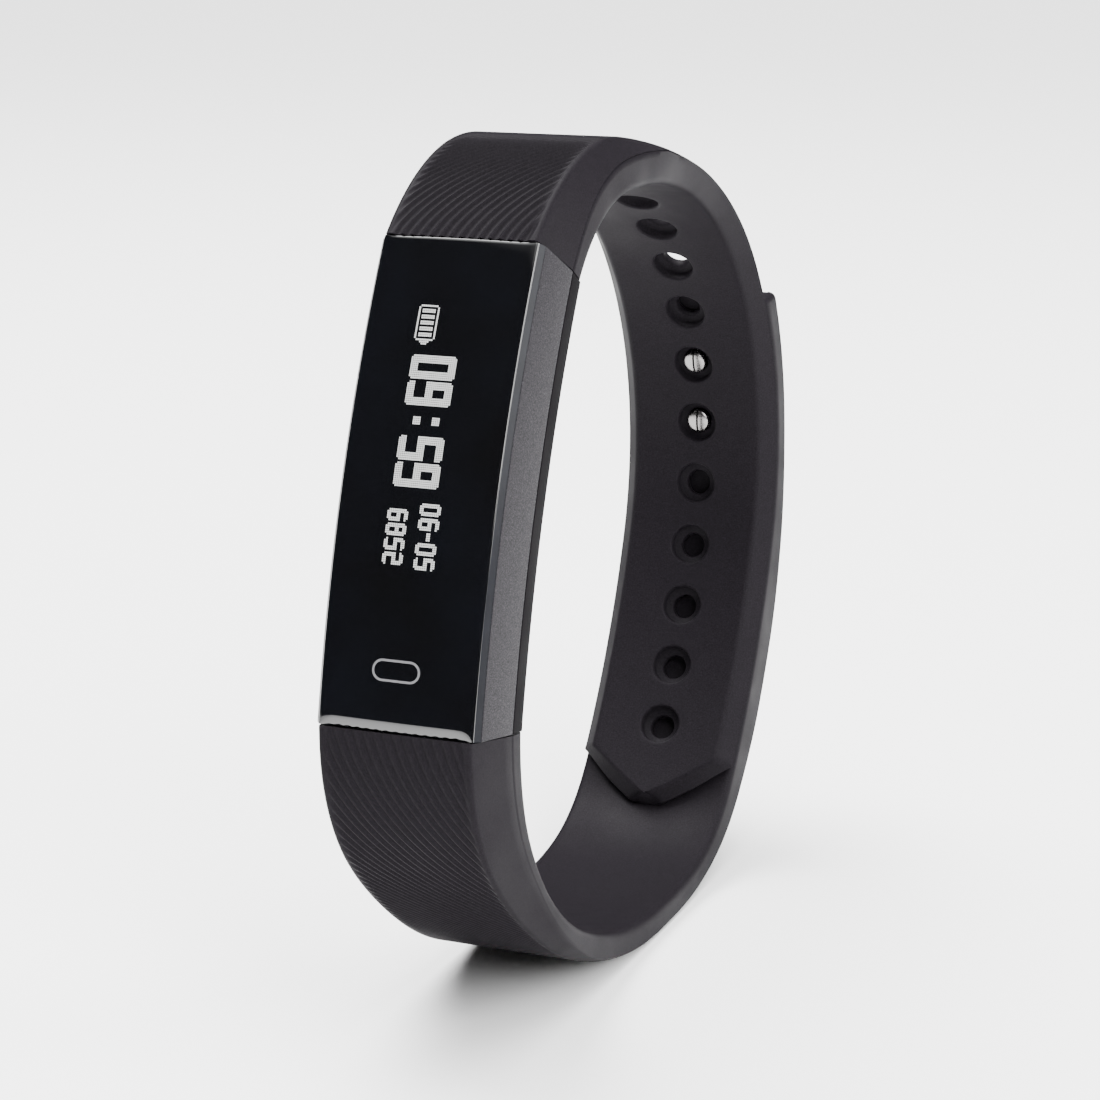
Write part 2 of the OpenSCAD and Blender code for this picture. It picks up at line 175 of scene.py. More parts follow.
@functools.lru_cache(maxsize=None)
def upper_at(s):
    """(y, z, heading) on the holed strap's skin, s along it from the module."""
    y, z = in_module(SKIN_V, SKIN_W)
    heading = math.pi / 2 - TILT - ROOT_TURN
    for i, (r, a) in enumerate(UPPER_ARCS):
        length = r * math.radians(a)
        step = s if i == len(UPPER_ARCS) - 1 else min(s, length)
        turned = heading - step / r
        y += r * (math.sin(heading) - math.sin(turned))
        z -= r * (math.cos(heading) - math.cos(turned))
        heading = turned
        s -= step
        if s <= 0:
            break
    return y, z, heading


def upper_point(s, d):
    y, z, h = upper_at(s)
    return y - d * math.sin(h), z + d * math.cos(h)


LAP_GAP = 0.15
TAIL_T = 2.0
LAP_D = TAIL_T + LAP_GAP
LAP_S = 104.5
CLASP_END_S = 56.0
LOW_POINT = (6.7, -36.6)
# How far the two curves' handles reach: at the module, before and after the low point, and at the lap
ROOT_REACH = 18.1
REACH_BEFORE_LOW = 16
REACH_AFTER_LOW = 8.2
LAP_REACH = 8.8
UNDER_A_LEN = 49.0
UNDER_B_LEN = 22.5
LOWER_LEN = UNDER_A_LEN + UNDER_B_LEN + LAP_S - CLASP_END_S
LOWER_START = in_module(-SKIN_V, SKIN_W)
LOWER_HEADING = -math.pi / 2 - TILT + ROOT_TURN
LAP_START = upper_point(LAP_S, LAP_D)
LAP_HEADING = upper_at(LAP_S)[2]


def ahead(p, heading, length):
    return p[0] + length * math.cos(heading), p[1] + length * math.sin(heading)


UNDER_A = (LOWER_START, ahead(LOWER_START, LOWER_HEADING, ROOT_REACH),
           (LOW_POINT[0] - REACH_BEFORE_LOW, LOW_POINT[1]), LOW_POINT)
UNDER_B = (LOW_POINT, (LOW_POINT[0] + REACH_AFTER_LOW, LOW_POINT[1]),
           ahead(LAP_START, LAP_HEADING, LAP_REACH), LAP_START)


def bezier_frame(p, u):
    q = 1 - u
    weights = (q ** 3, 3 * q * q * u, 3 * q * u * u, u ** 3)
    slopes = (-3 * q * q, 3 * q * q - 6 * q * u, 6 * q * u - 3 * u * u, 3 * u * u)
    y, z = (sum(k * a[i] for k, a in zip(weights, p)) for i in (0, 1))
    dy, dz = (sum(k * a[i] for k, a in zip(slopes, p)) for i in (0, 1))
    return y, z, math.atan2(dz, dy)


@functools.lru_cache(maxsize=None)
def lower_at(s):
    """(y, z, heading) on the clasp strap's skin, s along it from the module."""
    if s < 0:
        return (*ahead(LOWER_START, LOWER_HEADING, s), LOWER_HEADING)
    if s < UNDER_A_LEN:
        return bezier_frame(UNDER_A, s / UNDER_A_LEN)
    if s < UNDER_A_LEN + UNDER_B_LEN:
        return bezier_frame(UNDER_B, (s - UNDER_A_LEN) / UNDER_B_LEN)
    q = LAP_S - (s - UNDER_A_LEN - UNDER_B_LEN)
    return (*upper_point(q, LAP_D), upper_at(q)[2] + math.pi)


def lower_point(s, d):
    y, z, h = lower_at(s)
    return y + d * math.sin(h), z - d * math.cos(h)


# ---- Strap sections: half widths and depths ----------------------------------------------------
SIDE_X = STRAP_W / 2
TAIL_SKIN_W = 13.2
CLASP_T = 3.0
SWELL_T = 1.8
UNDER_T = 2.7
UPPER_ROOT_LEN = 44
LOWER_ROOT_LEN = 13.2
ROOT_CREASE = MODULE_T - CREASE_W
CREASE_DROP = 0.7
UPPER_LIP = 0.3
LOWER_LIP = 0.4
UPPER_FACE_IN = 0.6
LOWER_FACE_IN = 0.8
TIP_THINNING = 0.6
# Where a change of section starts along its strap, and over what length it happens
UPPER_CREASE_EASE = (0, 8)
UPPER_SKIN_EASE = (12, 26)
UPPER_FACE_EASE = (12, 22)
TIP_EASE = (UPPER_LEN - 4, 4)
LOWER_CREASE_EASE = (14, 20)
LOWER_FACE_EASE = (30, 16)
CLASP_EASE = (55, 25)
SWELL_IN_EASE = (60, 20)
SWELL_OUT_EASE = (86, 20)


def ease(s, span):
    """0 before the span (start, length), 1 after it, and a smooth change over it."""
    start, length = span
    return smooth((s - start) / length)


def upper_t(s):
    root = mix(TAIL_T, MODULE_T, (1 - max(0, min(1, s / UPPER_ROOT_LEN))) ** 2)
    return root - TIP_THINNING * ease(s, TIP_EASE)


def upper_shape(s):
    """(skin half width, crease depth, outer half width, thickness) of the holed strap."""
    t = upper_t(s)
    crease = min(t - UPPER_LIP, ROOT_CREASE + CREASE_DROP * ease(s, UPPER_CREASE_EASE))
    skin_x = mix(STRAP_W, TAIL_SKIN_W, ease(s, UPPER_SKIN_EASE)) / 2
    outer_x = mix(RIB_FACE_W, STRAP_W - UPPER_FACE_IN, ease(s, UPPER_FACE_EASE)) / 2
    return skin_x, crease, outer_x, t


def lower_t(s):
    root = mix(UNDER_T, MODULE_T, math.exp(-(max(0, s) / LOWER_ROOT_LEN) ** 2))
    swell = SWELL_T * (ease(s, SWELL_IN_EASE) - ease(s, SWELL_OUT_EASE))
    return mix(root, CLASP_T, ease(s, CLASP_EASE)) + swell


def lower_shape(s):
    """(skin half width, crease depth, outer half width, thickness) of the clasp strap."""
    t = lower_t(s)
    crease = mix(ROOT_CREASE / MODULE_T * t, t - LOWER_LIP, ease(s, LOWER_CREASE_EASE))
    outer_x = mix(RIB_FACE_W, STRAP_W - LOWER_FACE_IN, ease(s, LOWER_FACE_EASE)) / 2
    return SIDE_X, crease, outer_x, t


# The model's origin: middle of the clasp strap's depth, at its lowest line
under_line = [lower_point(s, lower_t(s)) for s in steps(0, LOWER_LEN, 240)]
ORIGIN = ((min(p[0] for p in under_line) + max(p[0] for p in under_line)) / 2,
          min(p[1] for p in under_line))


def placed(x, p):
    return x, p[0] - ORIGIN[0], p[1] - ORIGIN[1]


def round_corner(before, corner, after, radius, n):
    """n + 1 points of a curve that rounds a corner of an outline."""
    before, corner, after = Vector(before), Vector(corner), Vector(after)
    a, b = before - corner, after - corner
    cut = min(radius / math.tan(a.angle(b) / 2), 0.45 * a.length, 0.45 * b.length)
    start, stop = corner + cut * a.normalized(), corner + cut * b.normalized()
    return [tuple(start.lerp(corner, u).lerp(corner.lerp(stop, u), u)) for u in steps(0, 1, n)]


SKIN_ROUND = 0.85
FACE_ROUND = 0.45
GROOVE_HALF = 0.09


def shoulder(shape, groove):
    """One side of a strap's section, from the skin's edge round to the outer face's edge."""
    skin_x, crease, outer_x, t = shape
    skin, fold, edge = (skin_x, 0), (SIDE_X, crease), (outer_x, t)
    line = round_corner((0, 0), skin, fold, SKIN_ROUND, 7)
    up = (Vector(skin) - Vector(fold)).normalized()
    on = (Vector(edge) - Vector(fold)).normalized()
    low, high = Vector(fold) + GROOVE_HALF * up, Vector(fold) + GROOVE_HALF * on
    start = Vector(line[-1])
    line += [tuple(start.lerp(low, u)) for u in steps(0, 1, 4)[1:]]
    line.append((SIDE_X - groove, crease))
    line.append(tuple(high))
    turn = round_corner(fold, edge, (0, t), FACE_ROUND, 5)
    line += [tuple(high.lerp(Vector(turn[0]), u)) for u in steps(0, 1, 5)[1:-1]]
    return line + turn


# ---- Ribs on the outer faces -------------------------------------------------------------------
RIB_PITCH = 0.87
RIB_SETTLE = 1.8
RIB_HELD = 0.65
RIB_TURN_S = 14.0
RIB_COLUMNS = 8
RIB_EDGE = 0.5


def rib_shift(s, slope, growth):
    """How far a rib has moved across the band at s. It leaves the module almost straight."""
    swept = s * s if s < RIB_TURN_S else RIB_TURN_S * (2 * s - RIB_TURN_S)
    held = RIB_HELD * slope * RIB_SETTLE * (1 - math.exp(-s / RIB_SETTLE))
    return slope * s - held + growth * swept


def rib_line(half, t, s, ribs):
    """Points across the outer face at s, from +half to -half, in columns that follow the ribs."""
    slope, growth, height, sharpness, fade_from, fade_to = ribs
    step = RIB_PITCH / RIB_COLUMNS
    reach = rib_shift(fade_to, slope, growth)
    shift = rib_shift(min(s, fade_to), slope, growth)
    fade = 1 - smooth((s - fade_from) / (fade_to - fade_from))
    line = []
    for column in range(math.ceil(SIDE_X / step), -math.ceil((SIDE_X + reach) / step) - 1, -1):
        x = max(-half, min(half, shift + column * step))
        wave = (0.5 + 0.5 * math.cos(2 * math.pi * column / RIB_COLUMNS)) ** sharpness
        edge = smooth((half - abs(x)) / RIB_EDGE)
        line.append((x, t + height * (wave - 1) * edge * fade))
    return line


# Slope, growth of the slope, height, sharpness, and where the ribs start and stop fading
UPPER_RIBS = (0.85, 0.02, 0.30, 2.0, 9, 14)
LOWER_RIBS = (0.70, 0.01, 0.20, 1.2, 12, 37)


HALVINGS = 40
SEAM_SEARCH = (-6.0, 8.0)


def seam_s(point_at, d, side, gap):
    """Distance along a strap at which the line at depth d meets the module's end plane."""
    low, high = SEAM_SEARCH
    for _ in range(HALVINGS):
        s = (low + high) / 2
        v, w = to_module(point_at(s, d))
        if side * v > end_v(w) + gap:
            high = s
        else:
            low = s
    return high


SEAM_GAP = 0.07
ROOT_BLEND_S = 9.0
SKIN_SHARP = 62
# The groove along the folded sides: where it starts to fade, and how deep it is
UPPER_GROOVE_FADE, UPPER_GROOVE = 25, 0.14
LOWER_GROOVE_FADE, LOWER_GROOVE = 26, 0.05
SEAM_STEPS = 32
GROOVE_FADE_LEN = 4
RIB_STEP = 0.38
PLAIN_STEP = 0.5
SKIN_COLUMNS = 9


def root_rows(point_at, shape_at, side, s_end, ribs, groove_fade, groove_depth):
    """Closed rings of a strap's ribbed root, from the module's end plane to s_end."""
    starts = [seam_s(point_at, d, side, SEAM_GAP) for d in steps(0, MODULE_T, SEAM_STEPS)]

    def start_s(d):
        u = max(0, min(1, d / MODULE_T)) * SEAM_STEPS
        i = min(SEAM_STEPS - 1, int(u))
        return mix(starts[i], starts[i + 1], u - i)

    ribbed_to = ribs[-1]
    places = steps(0, ribbed_to, round(ribbed_to / RIB_STEP))
    places += steps(ribbed_to, s_end, round((s_end - ribbed_to) / PLAIN_STEP))[1:]
    rows = []
    for nominal in places:
        shape = shape_at(nominal)
        edge = shoulder(shape, groove_depth * (1 - ease(nominal, (groove_fade, GROOVE_FADE_LEN))))
        half, t = edge[-1][0], shape[3]
        rib_s = nominal - starts[-1] * min(1, nominal / ROOT_BLEND_S)
        line = [(x, 0) for x in steps(0, edge[0][0], SKIN_COLUMNS)[:-1]] + edge
        full = line + rib_line(half, t, rib_s, ribs) + [(-x, d) for x, d in reversed(line[1:])]
        blend = max(0, 1 - nominal / ROOT_BLEND_S)
        rows.append([placed(x, point_at(nominal + blend * start_s(d), d)) for x, d in full])
    return rows


# ---- Materials ---------------------------------------------------------------------------------
def node_material(name, base, rough, metallic=0.0, specular=0.5):
    material = bpy.data.materials.new(name)
    material.use_nodes = True
    shader = material.node_tree.nodes["Principled BSDF"]
    shader.inputs["Base Color"].default_value = (*base, 1)
    shader.inputs["Roughness"].default_value = rough
    shader.inputs["Metallic"].default_value = metallic
    shader.inputs["Specular IOR Level"].default_value = specular
    return material, material.node_tree, shader


def noise(tree, size_mm, detail=3.0):
    """A noise pattern in object space whose grains are about size_mm across."""
    place = tree.nodes.new("ShaderNodeTexCoord")
    pattern = tree.nodes.new("ShaderNodeTexNoise")
    pattern.inputs["Scale"].default_value = 1 / (size_mm * MM)
    pattern.inputs["Detail"].default_value = detail
    tree.links.new(place.outputs["Object"], pattern.inputs["Vector"])
    return pattern.outputs["Fac"]


def ramp(tree, value, stops):
    node = tree.nodes.new("ShaderNodeValToRGB")
    elements = node.color_ramp.elements
    while len(elements) < len(stops):
        elements.new(0.5)
    for element, (place, colour) in zip(elements, stops):
        element.position = place
        element.color = (*colour, 1)
    tree.links.new(value, node.inputs["Fac"])
    return node.outputs["Color"]


def map_range(tree, value, low, high, to_low, to_high):
    node = tree.nodes.new("ShaderNodeMapRange")
    for key, number in (("From Min", low), ("From Max", high), ("To Min", to_low), ("To Max", to_high)):
        node.inputs[key].default_value = number
    tree.links.new(value, node.inputs["Value"])
    return node.outputs["Result"]


def bump(tree, shader, value, height_mm, strength):
    node = tree.nodes.new("ShaderNodeBump")
    node.inputs["Distance"].default_value = height_mm * MM
    node.inputs["Strength"].default_value = strength
    tree.links.new(value, node.inputs["Height"])
    tree.links.new(node.outputs["Normal"], shader.inputs["Normal"])


def shade(colour, factor):
    return tuple(min(1, c * factor) for c in colour)


def grained(name, base, rough, grain_mm=0.16, spread=0.25, lift=0.012, strength=0.6, **shader_values):
    """Moulded plastic or rubber: fine grain in colour, roughness and surface, and broad clouding."""
    material, tree, shader = node_material(name, base, rough, **shader_values)
    grain = noise(tree, grain_mm)
    tree.links.new(ramp(tree, grain, [(0.3, shade(base, 1 - spread)), (0.55, base),
                                      (0.75, shade(base, 1 + spread))]), shader.inputs["Base Color"])
    cloud = noise(tree, 6.0, detail=2.0)
    tree.links.new(map_range(tree, cloud, 0.3, 0.7, rough - 0.05, rough + 0.06), shader.inputs["Roughness"])
    bump(tree, shader, grain, lift, strength)
    return material


def sparkling(name, base, rough):
    """Blasted metal-effect paint: tiny bright flakes over a dark ground."""
    material, tree, shader = node_material(name, base, rough, specular=0.087)
    flakes = noise(tree, 0.11, detail=2.0)
    tree.links.new(ramp(tree, flakes, [(0.35, shade(base, 0.6)), (0.52, base), (0.66, shade(base, 1.7)),
                                       (0.78, shade(base, 3.4))]), shader.inputs["Base Color"])
    tree.links.new(map_range(tree, flakes, 0.4, 0.75, rough + 0.1, rough - 0.12), shader.inputs["Roughness"])
    bump(tree, shader, flakes, 0.014, 0.8)
    return material


def steel(name, base, rough):
    """Polished steel with fine wear in its shine."""
    material, tree, shader = node_material(name, base, rough, metallic=1.0)
    wear = noise(tree, 0.12, detail=4.0)
    tree.links.new(map_range(tree, wear, 0.3, 0.7, rough - 0.06, rough + 0.12), shader.inputs["Roughness"])
    tree.links.new(ramp(tree, wear, [(0.3, shade(base, 0.85)), (0.7, base)]), shader.inputs["Base Color"])
    bump(tree, shader, wear, 0.004, 0.3)
    return material


def lens_black(name, specular):
    """Smoked glass over black print, with the faintest haze in its polish."""
    material, tree, shader = node_material(name, (0.0023, 0.0026, 0.0032), 0.03, specular=specular)
    haze = noise(tree, 9.0, detail=2.0)
    tree.links.new(map_range(tree, haze, 0.35, 0.7, 0.02, 0.055), shader.inputs["Roughness"])
    tree.links.new(ramp(tree, haze, [(0.3, (0.0020, 0.0020, 0.0023)), (0.8, (0.0026, 0.0029, 0.0041))]),
                   shader.inputs["Base Color"])
    return material


def glowing(name, colour, strength):
    """Lit dots of slightly uneven brightness."""
    material, tree, shader = node_material(name, (0.05, 0.05, 0.05), 0.4)
    flicker = noise(tree, 0.9, detail=1.0)
    tree.links.new(ramp(tree, flicker, [(0.3, shade(colour, 0.88)), (0.7, colour)]),
                   shader.inputs["Emission Color"])
    shader.inputs["Emission Strength"].default_value = strength
    return material


STRAP_COLOUR = (0.0087, 0.0075, 0.0093)
strap_rubber = grained("strap_rubber", STRAP_COLOUR, 0.50, grain_mm=0.13, spread=0.35, lift=0.010,
                       specular=0.029)
housing_paint = sparkling("housing_paint", (0.0133, 0.0122, 0.0145), 0.42)
cover_plastic = grained("cover_plastic", (0.0044, 0.0039, 0.0046), 0.6, specular=0.017)
lens_glass = lens_black("lens_glass", 0.35)
# A copy of the lens glass that reflects far more strongly, for the rounded long edges and the lower roll:
# painted highlight.
lens_edge_painted_highlight = lens_black("lens_edge_painted_highlight", 1.0)
# A darker, less glossy, blue-tinted copy of the lens's black for its steep sides, so that they read dark
# blue: painted shade and a painted reflection.
lens_side_painted_shade = grained("lens_side_painted_shade", (0.0046, 0.0052, 0.0075), 0.22, grain_mm=2.5, lift=0.002, strength=0.2,
                    specular=0.087)
polished_steel = steel("polished_steel", (0.25, 0.24, 0.238), 0.24)
plate_finish = grained("plate_finish", (0.046, 0.046, 0.052), 0.34, spread=0.2, specular=0.145)
lit_dots = glowing("lit_dots", (0.86, 0.87, 0.86), 1.6)
key_ink = grained("key_ink", (0.104, 0.104, 0.110), 0.5, grain_mm=0.3, spread=0.12)

# CAD nodes that keep their own shape take a grained finish of their record's colour
METALLIC = {"brushed_steel": 1.0, "chrome": 1.0, "aluminium": 1.0, "brass": 1.0, "cast_iron": 0.8}
slot_finish = {}
for entry in frame["record"]["materials"]:
    metal = METALLIC.get(entry["class"], 0.0)
    slot_finish[entry["slot"]] = grained("finish_" + entry["slot"], tuple(entry["base_color"][:3]),
                                         0.3 if metal else 0.5, metallic=metal, spread=0.15)
for row in frame["record"]["subparts"]:
    node_object = frame["nodes"][row["node"]]
    node_object.data.materials.clear()
    node_object.data.materials.append(slot_finish[row["material_slot"]])


# ---- Holed strap -------------------------------------------------------------------------------
HOLE_COUNT = 11
HOLE_PITCH = 6.37
LAST_HOLE_BACK = 3.1
HOLE_S = [CORNER_S - LAST_HOLE_BACK - (HOLE_COUNT - 1 - i) * HOLE_PITCH for i in range(HOLE_COUNT)]
HOLE_R = 1.98
HOLE_RIM = 0.2
HOLE_STEP_D = 1.0
STEP_ROUND = 0.12
BORE_R = 1.22
BORE_EDGE = 0.1
BORE_FLARE = 0.06
BORE_MARGIN = 0.35
CELL_X = 4.5
CELL_N = 12
SIDE_COLUMNS = 3
HOLED_FROM = HOLE_S[0] - HOLE_PITCH / 2
HOLED_TO = CORNER_S


def cell_steps(s_mid):
    return steps(s_mid - HOLE_PITCH / 2, min(s_mid + HOLE_PITCH / 2, HOLED_TO), CELL_N)


def cell_border(s_mid):
    """Points (x, s) round one hole's cell, in order."""
    xs = steps(-CELL_X, CELL_X, CELL_N)
    ss = cell_steps(s_mid)
    border = [(x, ss[0]) for x in xs[:-1]] + [(CELL_X, s) for s in ss[:-1]]
    border += [(x, ss[-1]) for x in reversed(xs[1:])] + [(-CELL_X, s) for s in reversed(ss[1:])]
    return border


def add_hole(surface, s_mid):
    """The skin and the outer face of one cell, and the stepped hole between them."""
    border = cell_border(s_mid)
    angles = [math.atan2(s - s_mid, x) for x, s in border]

    def circle(r, depth):
        return [placed(r * math.cos(a), upper_point(s_mid + r * math.sin(a), depth(r, a))) for a in angles]

    def flat(r, level):
        rows = []
        for u in steps(0, 1, 4)[:-1]:
            row = []
            for (x, s), a in zip(border, angles):
                px = mix(x, r * math.cos(a), u)
                ps = mix(s, s_mid + r * math.sin(a), u)
                row.append(placed(px, upper_point(ps, level(ps))))
            rows.append(row)
        return rows

    t = upper_t(s_mid)
    rows = flat(HOLE_R + HOLE_RIM, lambda s: 0)
    rows += [circle(HOLE_R + HOLE_RIM * (1 - math.sin(q)), lambda r, a, q=q: HOLE_RIM * (1 - math.cos(q)))
             for q in steps(0, math.pi / 2, 5)]
    rows.append(circle(HOLE_R, lambda r, a: HOLE_STEP_D - STEP_ROUND))
    rows.append(circle(HOLE_R - STEP_ROUND, lambda r, a: HOLE_STEP_D))
    rows.append(circle(BORE_R + BORE_EDGE, lambda r, a: HOLE_STEP_D))
    rows.append(circle(BORE_R, lambda r, a: HOLE_STEP_D + BORE_EDGE))
    rows.append(circle(BORE_R, lambda r, a: t - BORE_EDGE))
    rows.append(circle(BORE_R + BORE_FLARE, lambda r, a: upper_t(s_mid + r * math.sin(a))))
    rows += list(reversed(flat(BORE_R + BORE_MARGIN, upper_t)))
    surface.add_grid(rows, closed=True)


TIP_SLOPE = 1.41
TIP_NOSE_R = 1.5
TIP_POINT_S = CORNER_S + TAIL_SKIN_W / 2 / TIP_SLOPE
NOSE_CENTRE_S = TIP_POINT_S - TIP_NOSE_R * math.hypot(1, TIP_SLOPE) / TIP_SLOPE
TIP_END_S = NOSE_CENTRE_S + TIP_NOSE_R - 0.01
NOSE_ROWS_LEN = 0.25
TIP_LEAN = 0.5


def tip_half(s):
    """Half width of the skin at the strap's pointed end."""
    line = (TIP_POINT_S - s) * TIP_SLOPE
    tangent_s = NOSE_CENTRE_S + TIP_NOSE_R * TIP_SLOPE / math.hypot(1, TIP_SLOPE)
    if s > tangent_s:
        return math.sqrt(max(0, TIP_NOSE_R ** 2 - (s - NOSE_CENTRE_S) ** 2))
    return min(TAIL_SKIN_W / 2, line)


def holed_ring(s, lean=0.0):
    """Closed ring of the holed strap, with the same sides as the hole cells have."""
    skin_x, crease, outer_x, t = upper_shape(min(s, UPPER_LEN))
    edge = shoulder((skin_x, crease, outer_x, t), 0)
    half = tip_half(s) if s > CORNER_S else skin_x
    k = half / skin_x
    skin_places = steps(0, CELL_X, CELL_N // 2) + steps(CELL_X, edge[0][0], SIDE_COLUMNS)[1:-1]
    skin = [(k * x, 0) for x in skin_places]
    rim = [(x - skin_x + half, d) for x, d in edge]
    inner = rim[-1][0]
    outer = [(mix(inner, k * CELL_X, u), t) for u in steps(0, 1, SIDE_COLUMNS)[1:]]
    outer += [(k * x, t) for x in steps(CELL_X, 0, CELL_N // 2)[1:]]
    line = skin + rim + outer
    full = line + [(-x, d) for x, d in reversed(line[1:-1])]
    return [placed(x, upper_point(s + lean * d, d)) for x, d in full]


def side_strip(sign):
    """Open rows along the holed part, from the skin panel's border round to the outer panel's."""
    rows = []
    for s in [HOLED_FROM] + [s for s_mid in HOLE_S for s in cell_steps(s_mid)[1:]]:
        shape = upper_shape(s)
        edge = shoulder(shape, 0)
        line = [(x, 0) for x in steps(CELL_X, edge[0][0], SIDE_COLUMNS)[:-1]] + edge
        line += [(mix(edge[-1][0], CELL_X, u), shape[3]) for u in steps(0, 1, SIDE_COLUMNS)[1:]]
        rows.append([placed(sign * x, upper_point(s, d)) for x, d in line])
    return rows


def make_holed_strap():
    surface = Surface()
    rows = root_rows(upper_point, upper_shape, 1, HOLED_FROM, UPPER_RIBS, UPPER_GROOVE_FADE, UPPER_GROOVE)
    ids = surface.add_grid(rows, closed=True)
    surface.faces.append(tuple(reversed(ids[0])))
    for s_mid in HOLE_S:
        add_hole(surface, s_mid)
    surface.add_grid(side_strip(1))
    surface.add_grid(side_strip(-1))
    nose_s = TIP_END_S - NOSE_ROWS_LEN
    tip = [holed_ring(s, TIP_LEAN * ease(s, (CORNER_S, TIP_LEN))) for s in steps(HOLED_TO, nose_s, 12)]
    tip += [holed_ring(s, TIP_LEAN) for s in steps(nose_s, TIP_END_S, 5)[1:]]
    ids = surface.add_grid(tip, closed=True)
    surface.faces.append(tuple(ids[-1]))
    return surface.make("holed_strap_skin", strap_rubber, SKIN_SHARP)


# ---- Clasp strap -------------------------------------------------------------------------------
ROOT_TO = 44.0
END_RUN = 4
END_LEAN_EASE = (LOWER_LEN - END_RUN, 3)
CLASP_END_LEAN = -0.35
CLASP_END_ROUND = 0.7


def clasp_ring(s, lean=0.0, inset=0.0):
    """Closed ring of the clasp strap beyond its ribbed root, drawn in all round by inset."""
    skin_x, crease, outer_x, t = lower_shape(s)
    edge = shoulder((skin_x - inset, crease, outer_x - inset, t - inset), 0)
    edge = [(min(x, SIDE_X - inset), d) for x, d in edge]
    line = [(x, 0) for x in steps(0, edge[0][0], SKIN_COLUMNS)[:-1]] + edge
    line += [(x, t - inset) for x in steps(edge[-1][0], 0, 10)[1:]]
    full = line + [(-x, d) for x, d in reversed(line[1:-1])]
    return [placed(x, lower_point(s + lean * d, d)) for x, d in full]


def make_clasp_strap():
    surface = Surface()
    rows = root_rows(lower_point, lower_shape, -1, ROOT_TO, LOWER_RIBS, LOWER_GROOVE_FADE, LOWER_GROOVE)
    ids = surface.add_grid(rows, closed=True)
    surface.faces.append(tuple(ids[0]))
    rings = [clasp_ring(s) for s in steps(ROOT_TO, LOWER_LEN - END_RUN, 110)]
    rings += [clasp_ring(s, CLASP_END_LEAN * ease(s, END_LEAN_EASE))
              for s in steps(LOWER_LEN - END_RUN, LOWER_LEN - CLASP_END_ROUND, 6)[1:]]
    for a in steps(0, math.pi / 2, 6)[1:]:
        s = LOWER_LEN - CLASP_END_ROUND * (1 - math.sin(a))
        rings.append(clasp_ring(s, CLASP_END_LEAN, CLASP_END_ROUND * (1 - math.cos(a))))
    ids = surface.add_grid(rings, closed=True)
    surface.faces.append(tuple(reversed(ids[-1])))
    return surface.make("clasp_strap_skin", strap_rubber, SKIN_SHARP)


# ---- Module ------------------------------------------------------------------------------------
def arch(v_angle, w):
    """Module point (v, w) at an angle along the arched face and a depth under it."""
    r = FACE_R - w
    return r * math.sin(v_angle), FACE_R - r * math.cos(v_angle)


def end_angle(w, inset):
    """Angle along the arch at which depth w reaches the module's end plane, less inset."""
    low, high = 0.0, 0.3
    for _ in range(HALVINGS):
        middle = (low + high) / 2
        v, deep = arch(middle, w)
        if v < end_v(deep) - inset:
            low = middle
        else:
            high = middle
    return low


def arched_loft(surface, outline, inset, rows=48):
    """Sweeps a closed outline of (x, w) along the module, between its leaning end planes."""
    limits = [end_angle(w, inset) for x, w in outline]
    grid = [[placed(x, in_module(*arch(u * limit, w))) for (x, w), limit in zip(outline, limits)]
            for u in steps(-1, 1, rows)]
    ids = surface.add_grid(grid, closed=True)
    surface.faces.append(tuple(ids[0]))
    surface.faces.append(tuple(reversed(ids[-1])))


def rounded_outline(corners, radii, n=4):
    """Closed mirrored outline from its right half's corners, each with its own rounding."""
    half = []
    for i, (corner, r) in enumerate(zip(corners, radii)):
        if r:
            half += round_corner(corners[i - 1], corner, corners[i + 1], r, n)
        else:
            half.append(corner)
    return half + [(-x, w) for x, w in reversed(half) if x]


END_GAP = 0.06
PANEL_X = RIB_FACE_W / 2 + 0.55
PANEL_W = 0.95
LEDGE_W = 2.2
EDGE_IN = 0.12
HOUSING_LIP = 0.16
COVER_GAP = 0.10


def make_housing():
    """The housing's shell: ledge under the lens, bevelled panels, and a short lip over the cover."""
    surface = Surface()
    arched_loft(surface, rounded_outline(
        [(0, LEDGE_W), (PANEL_X - 0.5, LEDGE_W), (PANEL_X - EDGE_IN, PANEL_W), (PANEL_X, PANEL_W),
         (SIDE_X, CREASE_W), (SIDE_X - EDGE_IN, CREASE_W + HOUSING_LIP), (0, CREASE_W + HOUSING_LIP)],
        [0, 0, 0.1, 0.15, 0.14, 0.05, 0]), END_GAP)
    return surface.make("housing_shell", housing_paint, 30)


def make_cover():
    """The back cover's shell: upright sides and the raised pad towards the wrist."""
    surface = Surface()
    top = CREASE_W + COVER_GAP
    arched_loft(surface, rounded_outline(
        [(0, top), (SIDE_X - EDGE_IN, top), (SIDE_X, top + EDGE_IN), (SIDE_X, MODULE_T),
         (SIDE_X - 1, MODULE_T), (SIDE_X - 2.2, MODULE_T + PAD_H), (0, MODULE_T + PAD_H)],
        [0, 0.05, 0.1, 0.6, 0.5, 0.6, 0]), END_GAP)
    return surface.make("cover_shell", cover_plastic, 30)


LENS_HALF = 6.75
LENS_CROWN = 0.22
LENS_SIDE = [(6.86, 0.26), (7.25, 0.98), (7.25, 1.9)]
LENS_ROUND = 0.16
RIM_LINE = 0.03
# Where across the lens its ends' roll dies out: (start, length)
ROLL_FADE = (5.4, 1.3)
# How far each end of the lens rolls over: (length, drop), the lower end first
LENS_ENDS = [(0.95, 0.24), (0.3, 0.1)]


def crown(x):
    return LENS_CROWN * (x / LENS_HALF) ** 2


